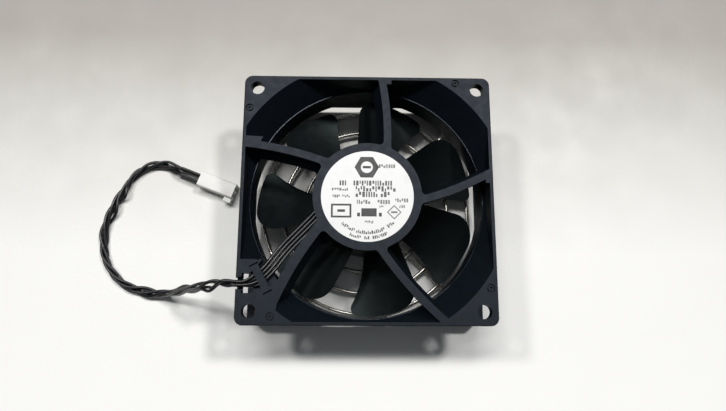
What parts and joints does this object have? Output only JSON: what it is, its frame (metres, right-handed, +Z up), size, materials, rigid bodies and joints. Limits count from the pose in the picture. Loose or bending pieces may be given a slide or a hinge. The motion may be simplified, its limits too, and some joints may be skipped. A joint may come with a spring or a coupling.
{
  "type": "case fan",
  "caption": "Square axial case fan: a bladed rotor on ball bearings in a frame with curved struts and a hub label, with a wire finger guard and a short lead with a small connector.",
  "frame": {"origin": "centre of the square footprint, on the surface under the guard screw heads", "axes": "+Z up along the shaft, out of the label side; -X towards the side where the lead leaves"},
  "size_m": [0.1343, 0.08, 0.0288],
  "materials": {
    "frame_plastic": "fine matt, moulded, glass filled",
    "impeller_plastic": "satin, moulded",
    "label_stock": "smooth white, with grey and black print shapes",
    "tube_brass": "turned",
    "core_steel": "stacked sheets",
    "insulator_plastic": "moulded, natural",
    "winding_copper": "enamelled wire",
    "board_laminate": "solder mask",
    "tinned_metal": "tin plate",
    "chip_plastic": "moulded",
    "component_ceramic": "matt",
    "bearing_steel": "ground and polished",
    "shield_steel": "pressed sheet",
    "cage_brass": "pressed",
    "spring_steel": "drawn wire",
    "shaft_steel": "ground",
    "clip_plastic": "natural",
    "yoke_steel": "deep drawn, zinc plated",
    "magnet_ferrite": "bonded ferrite, matt",
    "guard_chrome": "bright chrome plated wire",
    "screw_steel": "black oxide",
    "lead_insulation": "satin sleeve",
    "connector_nylon": "natural nylon, slightly translucent"
  },
  "bodies": {
    "housing": {"frame": "frame_plastic", "label": "label_stock", "bearing_tube": "tube_brass", "stator_core": "core_steel", "insulator_upper": "insulator_plastic", "insulator_lower": "insulator_plastic", "coil_windings": "winding_copper", "circuit_board": "board_laminate", "terminal_pins": "tinned_metal", "driver_chip": "chip_plastic", "hall_sensor": "chip_plastic", "board_components": "component_ceramic", "upper_bearing_outer_race": "bearing_steel", "upper_bearing_balls": "bearing_steel", "upper_bearing_cage": "cage_brass", "upper_bearing_shields": "shield_steel", "lower_bearing_outer_race": "bearing_steel", "lower_bearing_balls": "bearing_steel", "lower_bearing_cage": "cage_brass", "lower_bearing_shields": "shield_steel", "preload_spring": "spring_steel", "finger_guard": "guard_chrome", "guard_screws": "screw_steel", "lead_wire_supply": "lead_insulation", "lead_wire_ground": "lead_insulation", "lead_wire_speed": "lead_insulation", "lead_wire_control": "lead_insulation", "cord": "lead_insulation", "connector_housing": "connector_nylon", "connector_terminals": "tinned_metal"},
    "rotor": {"shaft": "shaft_steel", "retaining_clip": "clip_plastic", "shaft_bush": "tube_brass", "rotor_yoke": "yoke_steel", "ring_magnet": "magnet_ferrite", "impeller": "impeller_plastic", "upper_bearing_inner_race": "bearing_steel", "lower_bearing_inner_race": "bearing_steel"}
  },
  "joints": [
    {"name": "rotor_spin", "type": "hinge", "parent": "housing", "child": "rotor", "pos_m": [0, 0, 0.0139], "axis": [0, 0, 1], "continuous": true}
  ]
}
